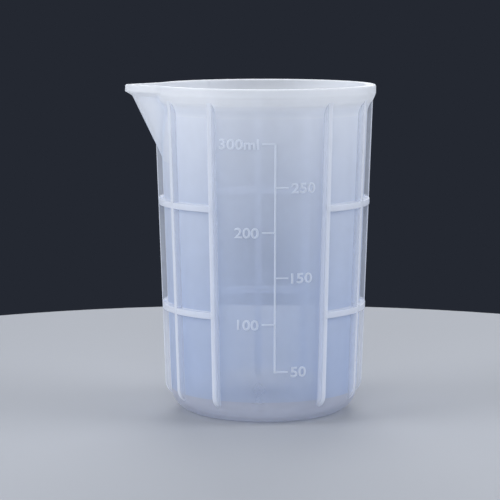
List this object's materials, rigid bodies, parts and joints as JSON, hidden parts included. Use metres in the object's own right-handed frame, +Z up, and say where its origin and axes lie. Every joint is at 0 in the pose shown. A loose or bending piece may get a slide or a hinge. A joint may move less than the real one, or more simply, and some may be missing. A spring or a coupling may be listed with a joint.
{
  "type": "resin mixing cup",
  "caption": "Translucent silicone mixing cup with a flared rim, a pouring spout, upright ribs, hoops and a raised millilitre scale on its plain front panel.",
  "frame": {"origin": "centre of the flat underside of the foot, on the cup's axis", "axes": "+Z up the cup's axis towards the rim, -Y out of the middle of the graduated panel, -X along the pouring spout"},
  "size_m": [0.0869, 0.0776, 0.114],
  "materials": {
    "silicone_wall": "translucent milky silicone, satin",
    "silicone_rim": "translucent milky silicone, thick section, satin",
    "silicone_rib": "translucent milky silicone, satin",
    "silicone_scale": "raised translucent silicone, satin"
  },
  "bodies": {
    "root": {"floor_disc": "silicone_wall", "foot_corner": "silicone_wall", "cup_wall": "silicone_wall", "rim": "silicone_rim", "pouring_spout": "silicone_rim", "rib_1": "silicone_rib", "rib_2": "silicone_rib", "rib_3": "silicone_rib", "rib_4": "silicone_rib", "rib_5": "silicone_rib", "rib_6": "silicone_rib", "rib_7": "silicone_rib", "rib_8": "silicone_rib", "rib_9": "silicone_rib", "rib_10": "silicone_rib", "rib_11": "silicone_rib", "lower_hoop_1": "silicone_rib", "lower_hoop_2": "silicone_rib", "lower_hoop_3": "silicone_rib", "lower_hoop_4": "silicone_rib", "lower_hoop_5": "silicone_rib", "lower_hoop_6": "silicone_rib", "lower_hoop_7": "silicone_rib", "lower_hoop_8": "silicone_rib", "lower_hoop_9": "silicone_rib", "lower_hoop_10": "silicone_rib", "upper_hoop_1": "silicone_rib", "upper_hoop_2": "silicone_rib", "upper_hoop_3": "silicone_rib", "upper_hoop_4": "silicone_rib", "upper_hoop_5": "silicone_rib", "upper_hoop_6": "silicone_rib", "upper_hoop_7": "silicone_rib", "upper_hoop_8": "silicone_rib", "upper_hoop_9": "silicone_rib", "upper_hoop_10": "silicone_rib", "scale_line": "silicone_scale", "tick_50_ml": "silicone_scale", "tick_100_ml": "silicone_scale", "tick_150_ml": "silicone_scale", "tick_200_ml": "silicone_scale", "tick_250_ml": "silicone_scale", "tick_300_ml": "silicone_scale", "figures_50_ml": "silicone_scale", "figures_100_ml": "silicone_scale", "figures_150_ml": "silicone_scale", "figures_200_ml": "silicone_scale", "figures_250_ml": "silicone_scale", "figures_300_ml": "silicone_scale"}
  },
  "joints": []
}
